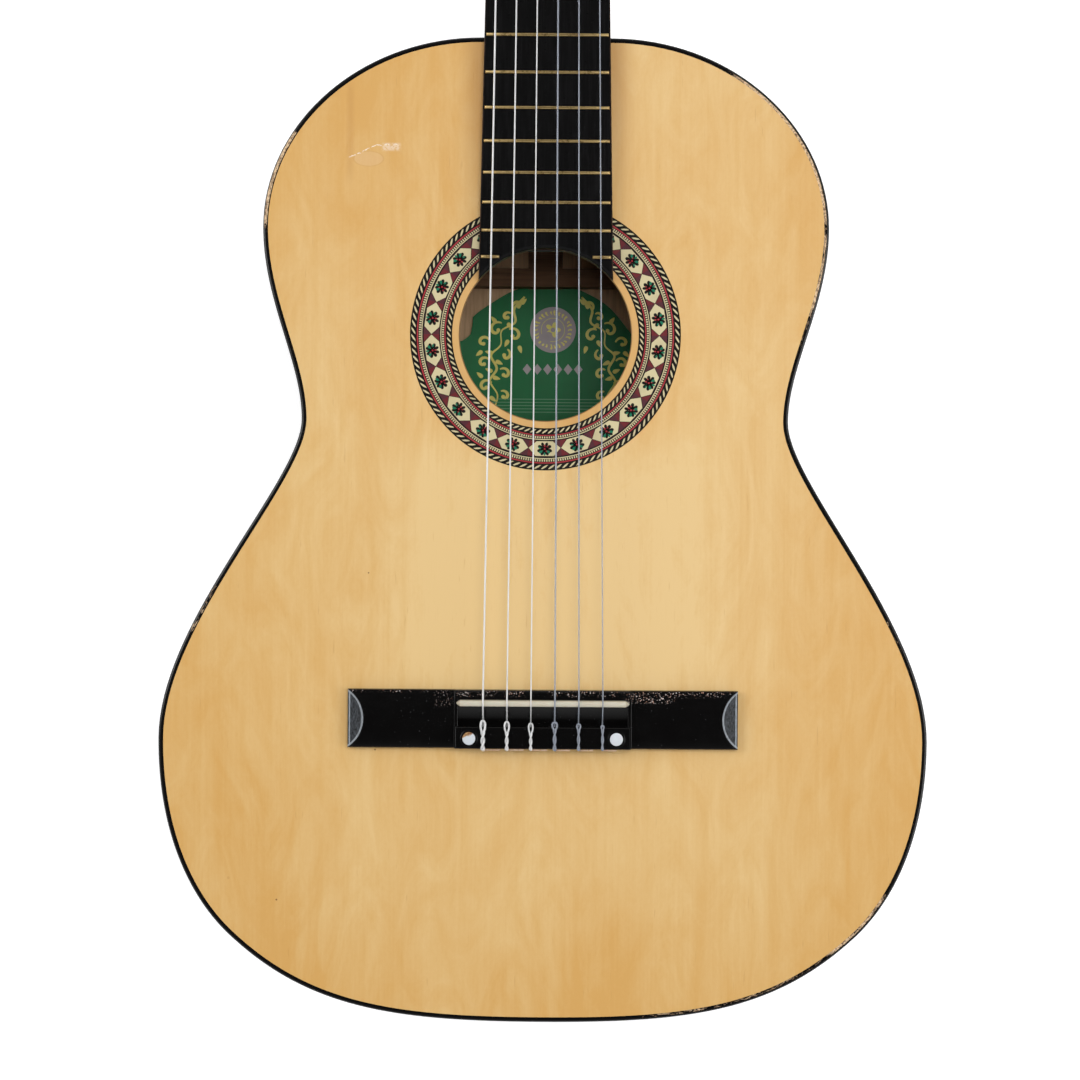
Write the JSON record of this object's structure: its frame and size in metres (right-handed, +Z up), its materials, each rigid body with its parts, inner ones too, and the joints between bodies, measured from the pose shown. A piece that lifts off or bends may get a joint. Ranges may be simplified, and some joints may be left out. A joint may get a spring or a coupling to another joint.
{
  "type": "classical guitar",
  "caption": "Full-size classical guitar with a spruce top, black sides, inlaid rosette, tie-block bridge and a slotted head with worm-driven string rollers.",
  "frame": {"origin": "on the surface the guitar lies on, under the middle of its length and width", "axes": "+Z up out of the soundboard, +Y along the strings towards the head, +X towards the thin strings"},
  "size_m": [0.376, 1.0024, 0.1085],
  "materials": {
    "spruce_top": "gloss",
    "black_lacquer": "gloss",
    "inner_wood": "matte",
    "neck_wood": "gloss",
    "rosette_inlay": "gloss",
    "fingerboard_black": "satin",
    "cream_plastic": "gloss",
    "white_plastic": "gloss",
    "label_paper": "satin",
    "steel": "satin",
    "brass": "satin",
    "wound_string": "polished",
    "clear_nylon": "gloss",
    "roller_plastic": "satin"
  },
  "bodies": {
    "guitar": {"soundboard": "spruce_top", "rosette": "rosette_inlay", "back_panel": "black_lacquer", "bass_side": "black_lacquer", "treble_side": "black_lacquer", "top_binding": "black_lacquer", "back_binding": "black_lacquer", "top_lining": "inner_wood", "back_lining": "inner_wood", "neck_block": "inner_wood", "tail_block": "inner_wood", "upper_brace": "inner_wood", "lower_brace": "inner_wood", "fan_bracing": "inner_wood", "back_bracing": "inner_wood", "label": "label_paper", "end_pin": "white_plastic", "bridge": "black_lacquer", "saddle": "cream_plastic", "bridge_bolt_bass": "steel", "bridge_bolt_treble": "steel", "bolt_cap_bass": "white_plastic", "bolt_cap_treble": "white_plastic", "neck": "neck_wood", "head": "neck_wood", "head_veneer": "black_lacquer", "fingerboard": "fingerboard_black", "nut": "cream_plastic", "string_1": "clear_nylon", "string_2": "clear_nylon", "string_3": "clear_nylon", "string_4": "wound_string", "string_5": "wound_string", "string_6": "wound_string", "machine_plate_bass": "brass", "machine_plate_treble": "brass"},
    "button_6_and_worm": {"button_6": "white_plastic", "worm_6": "steel"},
    "roller_6_and_gear": {"roller_6": "roller_plastic", "gear_6": "brass"},
    "button_5_and_worm": {"button_5": "white_plastic", "worm_5": "steel"},
    "roller_5_and_gear": {"roller_5": "roller_plastic", "gear_5": "brass"},
    "button_4_and_worm": {"button_4": "white_plastic", "worm_4": "steel"},
    "roller_4_and_gear": {"roller_4": "roller_plastic", "gear_4": "brass"},
    "button_3_and_worm": {"button_3": "white_plastic", "worm_3": "steel"},
    "roller_3_and_gear": {"roller_3": "roller_plastic", "gear_3": "brass"},
    "button_2_and_worm": {"button_2": "white_plastic", "worm_2": "steel"},
    "roller_2_and_gear": {"roller_2": "roller_plastic", "gear_2": "brass"},
    "button_1_and_worm": {"button_1": "white_plastic", "worm_1": "steel"},
    "roller_1_and_gear": {"roller_1": "roller_plastic", "gear_1": "brass"}
  },
  "joints": [
    {"name": "button_6_turn", "type": "hinge", "parent": "guitar", "child": "button_6_and_worm", "pos_m": [-0.0399, 0.37249, 0.0709], "axis": [0, 0.2588, 0.9659], "continuous": true},
    {"name": "roller_6_turn", "type": "hinge", "parent": "guitar", "child": "roller_6_and_gear", "pos_m": [0, 0.3651, 0.07288], "axis": [1, 0, 0], "continuous": true},
    {"name": "button_5_turn", "type": "hinge", "parent": "guitar", "child": "button_5_and_worm", "pos_m": [-0.0399, 0.40629, 0.06184], "axis": [0, 0.2588, 0.9659], "continuous": true},
    {"name": "roller_5_turn", "type": "hinge", "parent": "guitar", "child": "roller_5_and_gear", "pos_m": [0, 0.3989, 0.06382], "axis": [1, 0, 0], "continuous": true},
    {"name": "button_4_turn", "type": "hinge", "parent": "guitar", "child": "button_4_and_worm", "pos_m": [-0.0399, 0.4401, 0.05278], "axis": [0, 0.2588, 0.9659], "continuous": true},
    {"name": "roller_4_turn", "type": "hinge", "parent": "guitar", "child": "roller_4_and_gear", "pos_m": [0, 0.43271, 0.05477], "axis": [1, 0, 0], "continuous": true},
    {"name": "button_3_turn", "type": "hinge", "parent": "guitar", "child": "button_3_and_worm", "pos_m": [0.0399, 0.4401, 0.05278], "axis": [0, 0.2588, 0.9659], "continuous": true},
    {"name": "roller_3_turn", "type": "hinge", "parent": "guitar", "child": "roller_3_and_gear", "pos_m": [0, 0.43271, 0.05477], "axis": [1, 0, 0], "continuous": true},
    {"name": "button_2_turn", "type": "hinge", "parent": "guitar", "child": "button_2_and_worm", "pos_m": [0.0399, 0.40629, 0.06184], "axis": [0, 0.2588, 0.9659], "continuous": true},
    {"name": "roller_2_turn", "type": "hinge", "parent": "guitar", "child": "roller_2_and_gear", "pos_m": [0, 0.3989, 0.06382], "axis": [1, 0, 0], "continuous": true},
    {"name": "button_1_turn", "type": "hinge", "parent": "guitar", "child": "button_1_and_worm", "pos_m": [0.0399, 0.37249, 0.0709], "axis": [0, 0.2588, 0.9659], "continuous": true},
    {"name": "roller_1_turn", "type": "hinge", "parent": "guitar", "child": "roller_1_and_gear", "pos_m": [0, 0.3651, 0.07288], "axis": [1, 0, 0], "continuous": true}
  ],
  "couplings": [
    {"joint": "roller_6_turn", "follows": "button_6_turn", "ratio": -0.071429},
    {"joint": "roller_5_turn", "follows": "button_5_turn", "ratio": -0.071429},
    {"joint": "roller_4_turn", "follows": "button_4_turn", "ratio": -0.071429},
    {"joint": "roller_3_turn", "follows": "button_3_turn", "ratio": -0.071429},
    {"joint": "roller_2_turn", "follows": "button_2_turn", "ratio": -0.071429},
    {"joint": "roller_1_turn", "follows": "button_1_turn", "ratio": -0.071429}
  ]
}
